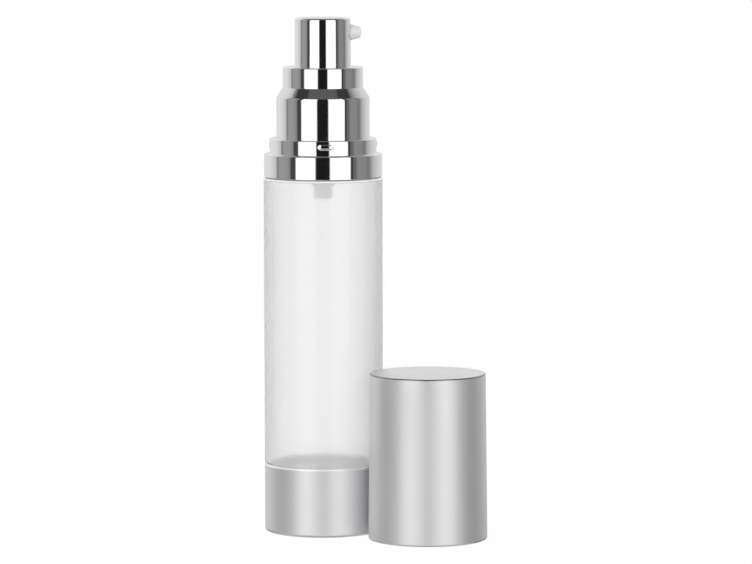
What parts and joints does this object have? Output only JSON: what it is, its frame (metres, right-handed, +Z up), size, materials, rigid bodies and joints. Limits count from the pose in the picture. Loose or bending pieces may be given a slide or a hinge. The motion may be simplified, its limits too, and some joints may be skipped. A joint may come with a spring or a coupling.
{
  "type": "airless pump bottle",
  "caption": "Frosted airless pump bottle with chrome collar, press button and side nozzle, a satin silver base cup, and its satin silver overcap standing beside it.",
  "frame": {"origin": "on the bottle's axis, in the plane of the foot ring that it stands on", "axes": "+Z up along the bottle's axis, +X the way the nozzle points"},
  "size_m": [0.0628, 0.0504, 0.1453],
  "materials": {
    "frosted_plastic": "matte",
    "frosted_nozzle": "satin",
    "satin_silver": "satin",
    "chromed_plastic": "polished",
    "natural_plastic": "satin",
    "seal_plastic": "satin",
    "gasket_rubber": "matte",
    "steel": "satin"
  },
  "bodies": {
    "bottle": {"bottle_tube": "frosted_plastic", "base_cup": "satin_silver", "base_plug": "natural_plastic", "pump_housing": "natural_plastic", "neck_gasket": "gasket_rubber", "snap_closure": "natural_plastic", "stem_guide": "natural_plastic", "collar_ring": "chromed_plastic", "shroud": "chromed_plastic"},
    "follower": {"follower_piston": "seal_plastic"},
    "plunger": {"pump_piston": "seal_plastic", "piston_rod": "natural_plastic", "stem": "natural_plastic", "return_spring": "steel"},
    "button": {"button_core": "natural_plastic", "button_shell": "chromed_plastic", "nozzle_tip": "frosted_nozzle"},
    "inlet_valve": {"inlet_ball": "steel"},
    "outlet_valve": {"outlet_ball": "steel"},
    "cap": {"overcap": "satin_silver"}
  },
  "joints": [
    {"name": "button_press", "type": "slide", "parent": "bottle", "child": "plunger", "axis": [0, 0, -1], "range_m": [0, 0.005], "stiffness_N_per_m": 1270, "springref_m": -0.004, "deforming": ["return_spring"]},
    {"name": "button_turn", "type": "hinge", "parent": "plunger", "child": "button", "pos_m": [0, 0, 0.135], "axis": [0, 0, 1], "continuous": true},
    {"name": "follower_rise", "type": "slide", "parent": "bottle", "child": "follower", "axis": [0, 0, 1], "range_m": [0, 0.0788]},
    {"name": "inlet_valve_lift", "type": "slide", "parent": "bottle", "child": "inlet_valve", "axis": [0, 0, 1], "range_m": [0, 0.0008]},
    {"name": "outlet_valve_lift", "type": "slide", "parent": "plunger", "child": "outlet_valve", "axis": [0, 0, 1], "range_m": [0, 0.0008]},
    {"name": "cap_lift", "type": "slide", "parent": "bottle", "child": "cap", "axis": [0, 0, 1], "range_m": [0, 0.15]}
  ]
}
